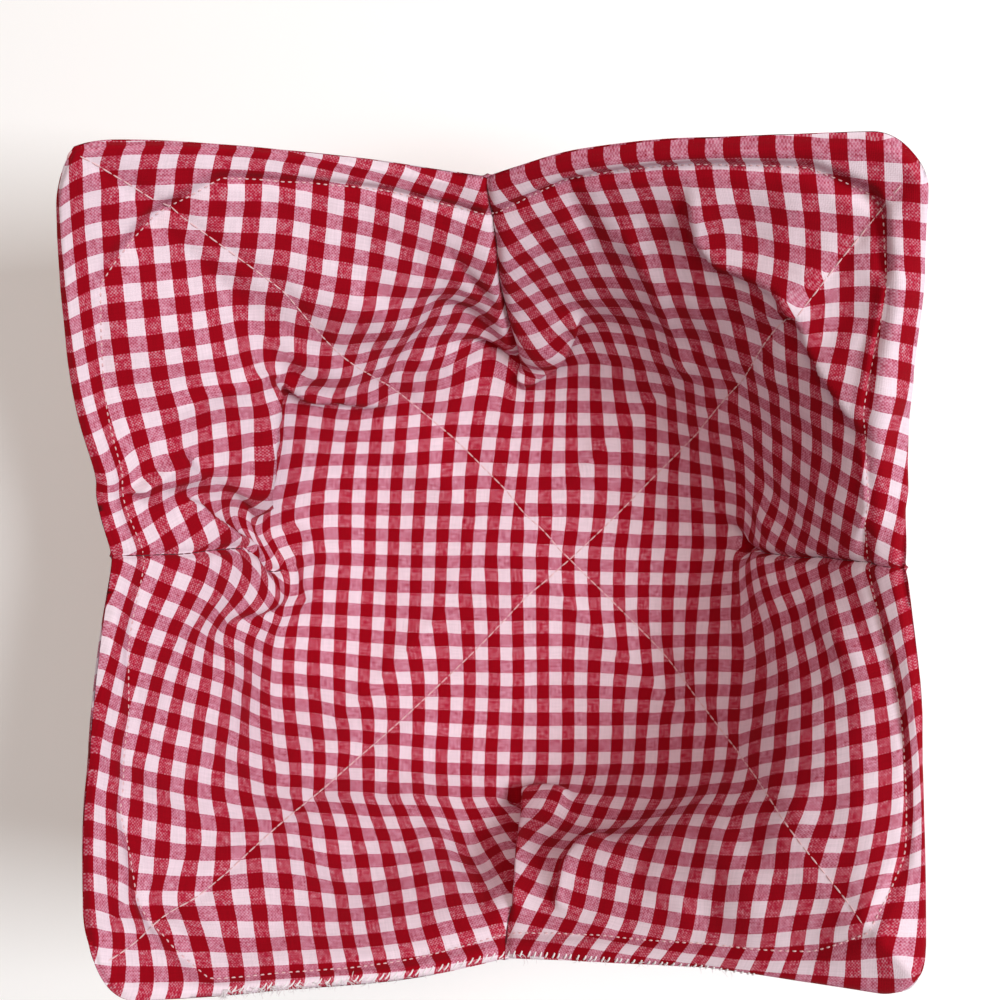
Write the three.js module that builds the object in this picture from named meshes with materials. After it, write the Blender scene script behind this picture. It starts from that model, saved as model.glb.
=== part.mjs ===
// Bowl cozy: a soft quilted holder for a hot soup bowl.
//
// Two squares of checked cotton, each quilted to its own batting, are darted at the middle of every side.
// Closing the darts turns each flat square into a shallow bowl with four standing corners.
// The two bowls are nested and sewn to each other all round the rim.
//
// The shape is described by sections: curves that run from the middle of the floor, up the wall, to the rim.
// Every section gives its compass heading and how far out and how far up it is at six stations on the way.
// Lengths are millimetres, +Z is up, the back of the cozy is at +Y and its right at +X.

import * as THREE from 'three';

// ---------------------------------------------------------------- sizes

const panelThick = 2.7;        // one quilted layer: cotton with its batting
const layerGap = 0.42;         // air between the two quilted layers
const rimThinning = 0.5;       // share of the thickness that is left at the sewn rim
const cellsAcross = 34;        // cloth cells along each side of a panel
const cornerRound = 0.14;      // corner rounding, as a share of half a side
const floorLevelling = 1.6;    // anything this close to the floor lies flat on the table
const floorUp = 2 * panelThick + layerGap;

// Where the stations of a section lie between the middle of the cloth (0) and its edge (1).
const stations = [0, 0.3, 0.5, 0.65, 0.8, 0.9, 1];

// One row for each section, anticlockwise from the right.
// turn is the heading in degrees at the floor and at the rim; a seam that leans has two different ones.
// out and up are millimetres at the stations after the middle one.
const sections = [
  { at: 'right dart', turn: [6, 3], out: [33, 52, 56, 66, 70, 77], up: [7, 15, 29, 45, 56, 64] },
  { at: 'right, back half', turn: [31, 29], out: [38, 56, 64, 72, 81, 91], up: [8, 26, 45, 63, 70, 67] },
  { at: 'back right corner', turn: [48, 47], out: [47, 64, 74, 92, 102, 112],
    up: [14, 42, 66, 76, 83, 89] },
  { at: 'back, right half', turn: [66, 65], out: [39, 57, 66, 76, 83, 90], up: [8, 25, 44, 61, 71, 79] },
  { at: 'back dart', turn: [83, 94], out: [35, 49, 55, 65, 73, 79], up: [8, 16, 30, 46, 55, 62] },
  { at: 'back, left half', turn: [115, 116], out: [38, 54, 63, 79, 88, 92], up: [10, 29, 47, 59, 66, 70] },
  { at: 'back left corner', turn: [133, 136], out: [45, 63, 83, 99, 107, 114],
    up: [15, 42, 60, 74, 84, 88] },
  { at: 'left, back half', turn: [152, 151], out: [37, 55, 62, 77, 88, 97], up: [10, 26, 45, 59, 66, 71] },
  { at: 'left dart', turn: [180, 177], out: [33, 47, 55, 64, 71, 77], up: [8, 22, 29, 46, 56, 64] },
  { at: 'left, front half', turn: [203, 202], out: [36, 56, 65, 75, 81, 83], up: [8, 22, 41, 58, 69, 77] },
  { at: 'front left corner', turn: [222, 225], out: [43, 64, 76, 89, 98, 107],
    up: [13, 36, 57, 78, 87, 93] },
  { at: 'front, left half', turn: [242, 240], out: [33, 53, 63, 73, 80, 87], up: [8, 20, 36, 53, 64, 74] },
  { at: 'front dart', turn: [273, 270], out: [28, 49, 57, 62, 68, 75], up: [7, 12, 21, 38, 48, 55] },
  { at: 'front, right half', turn: [301, 298], out: [32, 54, 61, 70, 77, 79],
    up: [9, 21, 39, 57, 67, 75] },
  { at: 'front right corner', turn: [321, 318], out: [43, 63, 72, 83, 89, 96],
    up: [14, 37, 61, 83, 93, 99] },
  { at: 'right, front half', turn: [340, 338], out: [35, 55, 66, 74, 79, 81],
    up: [8, 22, 40, 59, 70, 78] },
];

// ---------------------------------------------------------------- surface

// Smooth curve through four neighbouring values, read between the middle two.
function between(before, from, to, after, share) {
  const slope = to - before;
  const bend = 2 * before - 5 * from + 4 * to - after;
  const twist = 3 * (from - to) + after - before;
  return from + 0.5 * share * (slope + share * (bend + share * twist));
}

// Value of one coordinate at every station of one section.
function sectionCurve(section, axis) {
  if (axis === 'z') {
    return [floorUp, ...section.up];
  }
  const outward = section.out.map((out, index) => {
    const climb = (stations[index + 1] - stations[1]) / (1 - stations[1]);
    const turn = THREE.MathUtils.degToRad(THREE.MathUtils.lerp(section.turn[0], section.turn[1], climb));
    return axis === 'x' ? out * Math.cos(turn) : out * Math.sin(turn);
  });
  return [0, ...outward];
}

const curves = {
  x: sections.map((section) => sectionCurve(section, 'x')),
  y: sections.map((section) => sectionCurve(section, 'y')),
  z: sections.map((section) => sectionCurve(section, 'z')),
};

// Walk round the square cloth: 0 at the right dart, 4 at the back one, 8 at the left, 12 at the front.
function walkRound(across, along) {
  const edge = Math.max(Math.abs(across), Math.abs(along), 1e-9);
  const a = across / edge;
  const b = along / edge;
  if (a > 1 - 1e-9) {
    return (2 * b + 16) % 16;
  }
  if (b > 1 - 1e-9) {
    return 4 - 2 * a;
  }
  if (a < -1 + 1e-9) {
    return 8 - 2 * b;
  }
  return 12 + 2 * a;
}

// Parabola through the dart section, the half-way section and the corner section of one eighth.
// The eighths meet in a soft crease, as the cloth does along its seams and quilting.
function roundTheBowl(values, walk) {
  const eighth = Math.min(7, Math.floor(walk / 2));
  const share = walk - 2 * eighth;
  const first = values[2 * eighth];
  const middle = values[2 * eighth + 1];
  const last = values[(2 * eighth + 2) % 16];
  const fromFirst = 0.5 * (share - 1) * (share - 2);
  const fromLast = 0.5 * share * (share - 1);
  return first * fromFirst + middle * share * (2 - share) + last * fromLast;
}

// Pulls the points of the square beyond the corner arc back onto it.
function roundCorner(across, along) {
  const overA = Math.abs(across) - (1 - cornerRound);
  const overB = Math.abs(along) - (1 - cornerRound);
  if (overA <= 0 || overB <= 0) {
    return [across, along];
  }
  const pull = Math.max(overA, overB) / Math.hypot(overA, overB);
  const a = Math.sign(across) * (1 - cornerRound + overA * pull);
  const b = Math.sign(along) * (1 - cornerRound + overB * pull);
  return [a, b];
}

// Point of the inside face of the bowl, for a place on the square cloth (-1 to 1 both ways).
function insidePoint(acrossSquare, alongSquare) {
  const [across, along] = roundCorner(acrossSquare, alongSquare);
  const ring = Math.max(Math.abs(across), Math.abs(along));
  const walk = walkRound(across, along);
  let station = 0;
  while (station < stations.length - 2 && ring >= stations[station + 1]) {
    station += 1;
  }
  const share = (ring - stations[station]) / (stations[station + 1] - stations[station]);
  const read = (axis) => {
    const at = (index) => {
      const safe = THREE.MathUtils.clamp(index, 0, stations.length - 1);
      return roundTheBowl(curves[axis].map((curve) => curve[safe]), walk);
    };
    return between(at(station - 1), at(station), at(station + 1), at(station + 2), share);
  };
  const lift = Math.max(0, read('z') - floorUp - floorLevelling);
  return new THREE.Vector3(read('x'), read('y'), floorUp + lift);
}

// ---------------------------------------------------------------- cloth grid

const perSide = cellsAcross + 1;
const gridIndex = (row, column) => row * perSide + column;
const insideFace = [];
for (let row = 0; row < perSide; row += 1) {
  for (let column = 0; column < perSide; column += 1) {
    insideFace.push(insidePoint((2 * column) / cellsAcross - 1, (2 * row) / cellsAcross - 1));
  }
}

// Upward normal at a grid point, from its neighbours across and along the cloth.
// Rim points borrow the normal of the grid point just inside them.
function gridNormal(rimRow, rimColumn) {
  const row = THREE.MathUtils.clamp(rimRow, 1, cellsAcross - 1);
  const column = THREE.MathUtils.clamp(rimColumn, 1, cellsAcross - 1);
  const across = insideFace[gridIndex(row, column + 1)].clone().sub(insideFace[gridIndex(row, column - 1)]);
  const along = insideFace[gridIndex(row + 1, column)].clone().sub(insideFace[gridIndex(row - 1, column)]);
  return across.cross(along).normalize();
}

// A quilted panel is a closed sheet between two depths below the inside face.
// Near the rim the batting is pinched by the seam, so both depths close towards the middle.
function panelFace(depth) {
  const middle = floorUp / 2;
  const face = [];
  for (let row = 0; row < perSide; row += 1) {
    for (let column = 0; column < perSide; column += 1) {
      const onRim = row === 0 || column === 0 || row === cellsAcross || column === cellsAcross;
      const keep = onRim ? rimThinning : 1;
      const fromMiddle = depth - middle;
      const half = 0.5 * layerGap * Math.sign(fromMiddle);
      const pinched = middle + half + (fromMiddle - half) * keep;
      const point = insideFace[gridIndex(row, column)].clone();
      face.push(point.addScaledVector(gridNormal(row, column), -pinched));
    }
  }
  return face;
}

// Closed sheet between two faces: the upper skin, the lower skin and the strip along the rim.
function quiltedPanel(name, colour, topDepth, bottomDepth) {
  const top = panelFace(topDepth);
  const bottom = panelFace(bottomDepth);
  const count = perSide * perSide;
  const points = [...top, ...bottom].flatMap((point) => [point.x, point.y, Math.max(0, point.z)]);
  const faces = [];
  for (let row = 0; row < cellsAcross; row += 1) {
    for (let column = 0; column < cellsAcross; column += 1) {
      const a = gridIndex(row, column);
      const b = gridIndex(row, column + 1);
      const c = gridIndex(row + 1, column + 1);
      const d = gridIndex(row + 1, column);
      const towardsMiddle = (row < cellsAcross / 2) === (column < cellsAcross / 2);
      const halves = towardsMiddle ? [[a, b, c], [a, c, d]] : [[a, b, d], [b, c, d]];
      for (const [p, q, r] of halves) {
        faces.push(p, q, r);
        faces.push(p + count, r + count, q + count);
      }
    }
  }
  const rim = [];
  for (let step = 0; step < cellsAcross; step += 1) {
    rim.push([gridIndex(0, step), gridIndex(0, step + 1)]);
    rim.push([gridIndex(step, cellsAcross), gridIndex(step + 1, cellsAcross)]);
    rim.push([gridIndex(cellsAcross, step + 1), gridIndex(cellsAcross, step)]);
    rim.push([gridIndex(step + 1, 0), gridIndex(step, 0)]);
  }
  for (const [from, to] of rim) {
    faces.push(from, from + count, to + count);
    faces.push(from, to + count, to);
  }
  const geometry = new THREE.BufferGeometry();
  geometry.setAttribute('position', new THREE.Float32BufferAttribute(points, 3));
  geometry.setIndex(faces);
  geometry.computeVertexNormals();
  const material = new THREE.MeshStandardMaterial({ color: colour, roughness: 0.9, metalness: 0 });
  material.name = name;
  const mesh = new THREE.Mesh(geometry, material);
  mesh.name = name;
  return mesh;
}

// ---------------------------------------------------------------- assembly

const group = new THREE.Group();
group.name = 'bowl_cozy';
group.add(quiltedPanel('inner_panel', 0xc9596b, 0, panelThick));
group.add(quiltedPanel('outer_panel', 0xb8485c, panelThick + layerGap, floorUp));

// Centre the footprint over the origin, with the underside of the floor on the table.
const box = new THREE.Box3().setFromObject(group);
const centre = box.getCenter(new THREE.Vector3());
for (const panel of group.children) {
  panel.geometry.translate(-centre.x, -centre.y, 0);
}

export default group;
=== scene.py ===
# %% [markdown]
# # A quilted bowl cozy
# Two squares of checked cotton, each quilted to its own batting, are darted at the middle of every
# side, nested, and sewn together round the rim. The darts turn the flat squares into a bowl with four
# standing corners. This lesson makes the two panels as cloth surfaces worked out with numpy, sews them
# with modelled stitches, and gives the cloth a woven gingham that follows its own flat pattern.

# %% Frame
import math

import bpy
import numpy as np
from mathutils import Matrix, Vector


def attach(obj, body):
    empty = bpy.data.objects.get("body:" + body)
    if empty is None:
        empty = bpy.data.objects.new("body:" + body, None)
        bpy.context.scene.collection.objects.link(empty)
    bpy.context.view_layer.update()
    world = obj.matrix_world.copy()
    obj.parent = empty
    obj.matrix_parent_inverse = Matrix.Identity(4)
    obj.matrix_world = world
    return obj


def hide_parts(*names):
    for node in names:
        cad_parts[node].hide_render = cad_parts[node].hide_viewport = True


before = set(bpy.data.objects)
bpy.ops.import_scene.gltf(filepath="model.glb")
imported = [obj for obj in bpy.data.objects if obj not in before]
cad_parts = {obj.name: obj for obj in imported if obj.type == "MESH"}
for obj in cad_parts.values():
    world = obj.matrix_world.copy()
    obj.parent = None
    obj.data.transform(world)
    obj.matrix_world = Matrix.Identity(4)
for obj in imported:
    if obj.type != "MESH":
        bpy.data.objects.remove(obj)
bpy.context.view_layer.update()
MM = 0.001

# %% [markdown]
# ## The sections of the bowl
# The panels are described as a boat builder describes a hull: by sections. Each section runs from the
# middle of the floor, up the wall, to the rim, and says how far out and how far up it is at a few
# stations on the way. A loft through sections keeps the big shape in a short table, where a sculpted
# mesh would bury it in thousands of points. The rows refine those of the solid part by a few millimetres,
# except round the front right corner, which lies up to ten millimetres lower and nine further out.

# %% Section table
HALF_ACROSS, HALF_ALONG = 112.8, 106.5   # half the flat cloth, in millimetres
PANEL_THICK = 2.7                        # cotton with its batting
LAYER_GAP = 0.42
FLOOR_UP = 2 * PANEL_THICK + LAYER_GAP   # height of the inside of the floor above the table
FLOOR_LEVELLING = 1.6                    # anything this close to the floor lies flat on the table
TO_EDGE = 0.5 * (HALF_ACROSS + HALF_ALONG)  # from the middle to the edge, taken alike both ways
SHIFT = np.array([2.999, -3.373, 0.0])   # puts the middle of the whole cozy over the origin
MIDDLE = (-1.0, 3.4, FLOOR_UP)           # where the middle of the cloth lies
STATIONS = np.array([0, 0.3, 0.5, 0.65, 0.8, 0.9, 1])
# Rows go anticlockwise from the right. Each has the headings in degrees at the floor and at the rim, and
# then how far out and how far up, in millimetres, at the stations after the middle one.
SECTIONS = {
    "right dart": ((6, 2), (33, 53, 57, 65, 71, 79), (7, 15, 29, 45, 56, 64)),
    "right, back half": ((31, 27), (39, 56, 64, 73, 81, 92), (8, 26, 45, 63, 70, 67)),
    "back right corner": ((48, 45), (48, 64, 74, 92, 103, 113), (14, 42, 66, 76, 83, 89)),
    "back, right half": ((67, 66), (39, 58, 66, 77, 84, 92), (8, 25, 44, 61, 71, 79)),
    "back dart": ((88, 93), (35, 49, 55, 64, 73, 81), (8, 16, 30, 46, 55, 62)),
    "back, left half": ((115, 116), (38, 54, 63, 80, 91, 96), (10, 29, 47, 59, 66, 70)),
    "back left corner": ((134, 134), (45, 63, 84, 102, 111, 117), (15, 42, 60, 74, 84, 88)),
    "left, back half": ((152, 152), (37, 56, 62, 77, 89, 97), (10, 26, 45, 59, 66, 71)),
    "left dart": ((178, 176), (33, 50, 55, 62, 71, 79), (8, 22, 29, 46, 56, 64)),
    "left, front half": ((203, 200), (36, 57, 65, 76, 83, 87), (8, 22, 41, 58, 69, 77)),
    "front left corner": ((222, 220), (44, 64, 77, 90, 96, 105), (13, 36, 57, 78, 87, 93)),
    "front, left half": ((243, 240), (33, 53, 63, 74, 81, 87), (8, 20, 36, 53, 64, 74)),
    "front dart": ((273, 270), (29, 49, 58, 62, 68, 77), (7, 12, 21, 38, 48, 55)),
    "front, right half": ((302, 297), (33, 54, 60.5, 69, 79, 85.5), (9, 21, 41, 60, 66, 69)),
    "front right corner": ((321, 317), (44, 62, 70.5, 85, 92, 105), (14, 41, 65, 80, 86, 89)),
    "right, front half": ((340, 338), (35, 54, 64, 74, 83, 88), (8, 26, 48, 62, 67, 70)),
}


def station_points(section):
    """Points of one section: out along a heading that leans evenly from the floor to the rim, and up."""
    climb = (STATIONS[1:] - STATIONS[1]) / (1 - STATIONS[1])
    turn, out, up = (np.array(column, float) for column in section)
    heading = np.radians(turn[0] + climb * (turn[1] - turn[0]))
    points = np.stack([out * np.cos(heading), out * np.sin(heading), up], -1)
    return np.concatenate([[MIDDLE], points])


HULL = np.stack([station_points(section) for section in SECTIONS.values()])
print("sections:", HULL.shape[0], "of", HULL.shape[1], "stations")

# %% [markdown]
# ## From the square cloth to the bowl
# A place on the cloth is two shares, across and along, from -1 to 1. The larger of the two says how far
# the place is from the middle towards the edge, which is the station, and its direction says between
# which sections it lies. A parabola fills in from a dart to the corner beside it, and a cubic with
# matching slopes (Hermite) fills in from station to station up the wall. The parabolas meet in a soft
# crease at each dart, as the cloth does, and at each corner, where the edge of the square turns.


# %% Surface functions
def station_slopes(rows):
    """Slope at each station: the step between its neighbours over the distance between them."""
    gaps = np.diff(STATIONS)
    slopes = np.diff(rows, axis=1) / gaps[:, None]
    inner = (rows[:, 2:] - rows[:, :-2]) / (STATIONS[2:] - STATIONS[:-2])[:, None]
    return np.concatenate([slopes[:, :1], inner, slopes[:, -1:]], 1)


def hermite(start, end, start_slope, end_slope, share):
    """The cubic that leaves start and reaches end with the given slopes."""
    back = 1 - share
    return (start * back * back * (1 + 2 * share) + end * share * share * (3 - 2 * share)
            + share * back * (start_slope * back - end_slope * share))


def walk_round(across, along):
    """Walk round the square: 0 at the right dart, 4 at the back one, 8 at the left, 12 at the front."""
    edge = np.maximum(np.maximum(np.abs(across), np.abs(along)), 1e-9)
    a, b = across / edge, along / edge
    near = 1 - 1e-9
    walk = np.where(a < -near, 8 - 2 * b, 12 + 2 * a)
    walk = np.where(b > near, 4 - 2 * a, walk)
    return np.where(a > near, (2 * b) % 16, walk)


def round_the_eighth(rows, walk, eighth):
    """Value between sections: the parabola through the dart, half-way and corner sections of one eighth."""
    share = (walk - 2 * eighth)[..., None, None]
    first, middle, last = (rows[(2 * eighth + k) % 16] for k in range(3))
    return (first * 0.5 * (share - 1) * (share - 2) + middle * share * (2 - share)
            + last * 0.5 * share * (share - 1))


def bowl_point(across, along):
    """Inside face of the bowl: sections blended round the edge, then stations blended up the wall.
    Past the last station the wall runs straight on."""
    ring = np.maximum(np.abs(across), np.abs(along))
    walk = walk_round(across, along)
    eighth = np.clip(np.floor(walk / 2).astype(int), 0, 7)
    low = np.clip(np.searchsorted(STATIONS, ring, side="right") - 1, 0, len(STATIONS) - 2)
    gap = (STATIONS[low + 1] - STATIONS[low])[..., None]
    share = (np.minimum(ring, 1)[..., None] - STATIONS[low][..., None]) / gap

    def read(rows, index):
        blended = sum(round_the_eighth(rows, walk, k) * (eighth == k)[..., None, None] for k in range(8))
        return np.take_along_axis(blended, index[..., None, None], -2)[..., 0, :]

    point = hermite(read(HULL, low), read(HULL, low + 1), gap * read(HULL_SLOPES, low),
                    gap * read(HULL_SLOPES, low + 1), share)
    point = point + read(HULL_SLOPES, low + 1) * np.maximum(ring - 1, 0)[..., None]
    lift = np.maximum(0, point[..., 2] - FLOOR_UP - FLOOR_LEVELLING)
    point[..., 2] = FLOOR_UP + lift
    return point + SHIFT


HULL_SLOPES = station_slopes(HULL)

# %% [markdown]
# ## The grid of the cloth
# The grid lines crowd together at the dart seams and at the rim, where the cloth bends most, and spread
# out between them. The four corners of the square are rounded off by pulling the points beyond an arc
# back onto it.

# %% Grid
CELLS = 216                    # cloth cells along each side of a panel
CROWDING = 0.28                # 0 is an even grid
# The rounding of the corners, as a share of half a side.
CORNER_ROUND = dict(back_right=0.15, back_left=0.15, front_left=0.17, front_right=0.11)


def crowded_lines(cells):
    """Grid lines from -1 to 1: an even count, less a sine that slows it down at 0 and at 1."""
    even = np.linspace(-1, 1, cells + 1)
    return even - CROWDING * np.sin(2 * math.pi * even) / (2 * math.pi)


def round_corner(across, along):
    """Beyond the corner arc a point keeps its larger overhang as its distance from the arc's centre."""
    back = np.where(across > 0, CORNER_ROUND["back_right"], CORNER_ROUND["back_left"])
    front = np.where(across > 0, CORNER_ROUND["front_right"], CORNER_ROUND["front_left"])
    straight = 1 - np.where(along > 0, back, front)
    over_a, over_b = np.abs(across) - straight, np.abs(along) - straight
    beyond = (over_a > 0) & (over_b > 0)
    pull = np.where(beyond, np.maximum(over_a, over_b) / np.maximum(np.hypot(over_a, over_b), 1e-9), 1)
    a = np.where(beyond, np.sign(across) * (straight + over_a * pull), across)
    b = np.where(beyond, np.sign(along) * (straight + over_b * pull), along)
    return a, b


# The cutting was not quite true: millimetres trimmed off each side, at six places from its left or
# front end. Below 0 the cloth runs past the last station.
TRIM_AT = (-1, -0.5, 0, 0.2, 0.5, 1)
TRIM = dict(right=(0.5, 2, 1, 0.3, 4.2, 5.5), back=(8, 7, 1.2, 1.1, 1.3, -0.4),
            left=(8, 7.5, 1, 1.2, 1.4, 3.2), front=(-5, -2.2, -1.2, -0.4, 1.5, -2))


def by_side(table, a, b):
    """What a table says for the right or left side and for the back or front one, at each place."""
    right, left = (np.interp(b, TRIM_AT, table[side]) for side in ("right", "left"))
    back, front = (np.interp(a, TRIM_AT, table[side]) for side in ("back", "front"))
    return np.where(a > 0, right, left), np.where(b > 0, back, front)


def trimmed(a, b):
    """Each share drawn in by its side's trim, which fades from the edge to nothing half way in."""
    off_a, off_b = by_side(TRIM, a, b)
    near_a, near_b = (np.clip(2 * np.abs(x) - 1, 0, 1) ** 2 for x in (a, b))
    return a - np.sign(a) * off_a / HALF_ACROSS * near_a, b - np.sign(b) * off_b / HALF_ALONG * near_b


def on_square(a, b):
    """The place on the untrimmed square that rounding and trimming bring to (a, b): the miss is taken
    off again, eight times over."""
    x, y = a, b
    for _ in range(8):
        p, q = trimmed(*round_corner(x, y))
        x, y = x + a - p, y + b - q
    return np.clip(x, -1, 1), np.clip(y, -1, 1)


lines = crowded_lines(CELLS)
square_a, square_b = np.meshgrid(lines, lines)
cloth_a, cloth_b = trimmed(*round_corner(square_a, square_b))
inside = bowl_point(cloth_a, cloth_b)
from_edge = (1 - np.maximum(np.abs(square_a), np.abs(square_b))) * TO_EDGE
print("grid", inside.shape, "inside face, mm:", inside.min((0, 1)).round(1), inside.max((0, 1)).round(1))

# %% [markdown]
# ## Where the cloth was before it was sewn
# The gingham is woven flat, so its stripes run straight on the flat cloth and turn and narrow on the
# bowl, and each dart swallows a wedge of them. So each cell carries its place on the flat cloth as its
# UV: the wedge is left out on both sides of the seam, and the stripes meet there at an angle, as they
# do on the sewn one. One unit of the UV is one repeat of the check.

# %% Flat cloth
REPEAT = 6.35                  # a red and a white stripe together, in millimetres
FIRST_STRIPE = (-2.45, 2.6)    # the check's place under the middle of the panel, in repeats
OUTER_FIRST_STRIPE = (-1.6, 2.25)
# Each dart: its centre along the side, half its width at the edge and its depth, in millimetres.
DARTS = dict(
    back=dict(centre=-2.5, half_width=28.0, depth=61.0),
    front=dict(centre=4.0, half_width=20.5, depth=44.0),
    left=dict(centre=-4.5, half_width=23.0, depth=54.0),
    right=dict(centre=2.5, half_width=27.5, depth=52.0),
)


def wedge(dart, along, half_side):
    """Half width of the dart's wedge at a place along it: zero at its tip, growing evenly to the edge."""
    return dart["half_width"] * np.clip((along - (half_side - dart["depth"])) / dart["depth"], 0, 1)


def wedge_centre(dart, along, half_side):
    """The dart's centre line, which leans evenly from the middle of the cloth to the tip."""
    return dart["centre"] * np.clip(along / (half_side - dart["depth"]), 0, 1)


def beside_wedge(share, side, half, along, half_along, far, near):
    """Flat millimetres one way: a row of cloth starts at its side of the wedge and spreads to the edge."""
    width, centre = (part(DARTS[far], along, half_along) + part(DARTS[near], -along, half_along)
                     for part in (wedge, wedge_centre))
    return centre + side * width + np.abs(share) * (side * half - centre - side * width)


def flat_place(a, b, side_a, side_b):
    """Flat millimetres both ways: back and front darts part the rows, right and left ones the columns."""
    u = beside_wedge(a, side_a, HALF_ACROSS, HALF_ALONG * b, HALF_ALONG, "back", "front")
    v = beside_wedge(b, side_b, HALF_ALONG, HALF_ACROSS * a, HALF_ACROSS, "right", "left")
    return np.stack([u, v], -1)


def cell_corners(grid):
    """The four corners of every cell, anticlockwise, as one array."""
    return np.stack([grid[:-1, :-1], grid[:-1, 1:], grid[1:, 1:], grid[1:, :-1]], 2)


side = np.where(lines[:-1] + lines[1:] > 0, 1.0, -1.0)
cell_side_a, cell_side_b = (s[..., None] for s in np.meshgrid(side, side))
cell_flat = flat_place(cell_corners(cloth_a), cell_corners(cloth_b), cell_side_a, cell_side_b)

# %% [markdown]
# ## Pulls, folds and seams
# The sections give the smooth bowl. Sewn cloth is never that even: the darts drag the cloth beside them,
# and spare cloth lies in folds. Three tables say where. A pull moves the cloth level with the table, most
# at its middle and fading like a bell. A fold is a straight soft ridge (rise above 0) or trough (below 0)
# added along the cloth's normal, and a crease is a sharp ridge along a line of places. A cloth simulation
# would make folds too, but never these ones.

# %% Pulls and folds
# Each pull: the place on the cloth (across, along), its reach, and its move to the right and to the
# back, in millimetres.
PULLS = {
    "under the back right corner": ((0.66, 0.72), 26, (1.5, -2.5)),
    "right wall above the dart": ((0.66, 0.18), 18, (2.5, -2.5)),
    "right wall below the dart": ((0.60, -0.12), 12, (-1.5, 2.0)),
    "right of the back dart": ((0.36, 0.60), 12, (1.5, -1.0)),
    "back rim, right half": ((0.18, 0.78), 18, (0.0, 2.0)),
    "back dart, right of the tip": ((0.06, 0.54), 8, (2.0, -5.0)),
    "back dart, left of the tip": ((-0.06, 0.42), 8, (2.0, 6.0)),
    "left of the back dart": ((-0.12, 0.60), 12, (-1.0, 5.0)),
    "star fold": ((-0.42, 0.54), 12, (0.0, -2.5)),
    "back left wall": ((-0.84, 0.66), 18, (0.0, 2.0)),
    "left wall, back half": ((-0.72, 0.36), 12, (1.0, 2.5)),
    "left rim above the dart": ((-0.96, 0.24), 8, (2.0, -3.5)),
    "left dart, above the seam": ((-0.78, 0.12), 12, (-3.5, 4.0)),
    "left dart, above the tip": ((-0.54, 0.12), 12, (-4.5, -4.0)),
    "left dart, below the tip": ((-0.60, -0.06), 12, (2.5, -4.5)),
    "front left wall": ((-0.72, -0.84), 12, (-3.5, 1.0)),
    "front wall, left half": ((-0.54, -0.78), 12, (0.0, 2.5)),
    "left of the front dart": ((-0.12, -0.72), 26, (1.0, -2.0)),
    "front rim, left of the dart": ((-0.18, -0.96), 18, (-1.5, -0.8)),
    "right of the front dart": ((0.06, -0.66), 8, (1.5, 2.3)),
    "above the left seam": ((-0.66, 0.06), 9, (-4.0, 4.0)),
    "below the left seam": ((-0.66, -0.18), 9, (-3.2, 0.0)),
    "under the star": ((-0.48, 0.36), 12, (-1.3, 2.1)),
    "corner flap, tip": ((0.60, 0.60), 9, (0.4, 2.8)),
    "right rim, back half": ((0.96, 0.66), 18, (0.7, 1.6)),
    "right rim, front half": ((0.90, -0.60), 18, (0.0, -1.3)),
}
# Each fold: its start and its end on the cloth, and its width and rise in millimetres.
FOLDS = {
    "star, ridge behind": ((-0.55, 0.54), (-0.34, 0.46), 4.0, 1.1),
    "star, ridge beside": ((-0.61, 0.44), (-0.67, 0.22), 4.5, 1.1),
    "star, far end": ((-0.30, 0.39), (-0.19, 0.57), 3.2, -1.2),
    "left wall notch, ridge": ((-0.87, 0.15), (-0.76, 0.22), 3.2, 1.0),
    "left dart, second fold": ((-0.70, 0.16), (-0.58, 0.10), 2.4, -1.3),
    "left dart, lower fold": ((-0.66, -0.17), (-0.54, -0.10), 2.6, -1.7),
    "back dart, upper fan": ((-0.13, 0.80), (-0.02, 0.65), 2.6, -1.0),
    "back dart, middle fan": ((-0.20, 0.66), (-0.03, 0.54), 3.0, -1.0),
    "back dart, lower fan": ((-0.17, 0.51), (-0.03, 0.44), 2.8, -1.3),
    "floor crease": ((0.06, 0.40), (0.02, 0.18), 4.0, -0.6),
    "star, beside the front arm": ((-0.66, 0.35), (-0.67, 0.20), 2.2, -1.3),
    "floor, left folds": ((-0.40, 0.16), (-0.42, -0.10), 3.0, -0.7),
    "back left wall, soft fold": ((-0.36, 0.72), (-0.20, 0.60), 4.0, -1.2),
    "front left wall, soft fold": ((-0.45, -0.72), (-0.30, -0.84), 5.0, -1.1),
    "front right wall, soft ridge": ((0.50, -0.72), (0.62, -0.86), 6.0, 1.3),
    "back wall, trough": ((0.19, 0.91), (0.26, 0.74), 3.0, -1.2),
    "right dart, pucker": ((0.50, 0.04), (0.56, -0.02), 2.4, -2.8),
    "right dart, upper ridge": ((0.57, 0.16), (0.66, 0.05), 3.4, 1.0),
    "right wall, bend": ((0.80, -0.14), (0.85, -0.34), 5.0, 1.4),
    "right wall, low fold": ((0.62, -0.20), (0.78, -0.10), 4.0, -1.0),
    "front wall, long trough": ((0.40, -0.60), (0.10, -0.70), 6.0, -2.4),
    "front wall, long ridge": ((0.38, -0.70), (0.14, -0.80), 6.0, 1.4),
    "front dart, pocket": ((-0.025, -0.59), (0.01, -0.58), 2.3, -3.0),
    "front dart, side ridge": ((0.03, -0.66), (0.12, -0.60), 3.4, 0.8),
    "front dart, left trough": ((-0.13, -0.64), (-0.04, -0.90), 4.0, -2.2),
    "front dart, left ridge": ((-0.23, -0.60), (-0.14, -0.90), 4.5, 1.0),
    "front left crease": ((-0.90, -0.55), (-0.70, -0.66), 4.5, 0.9),
}
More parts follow.
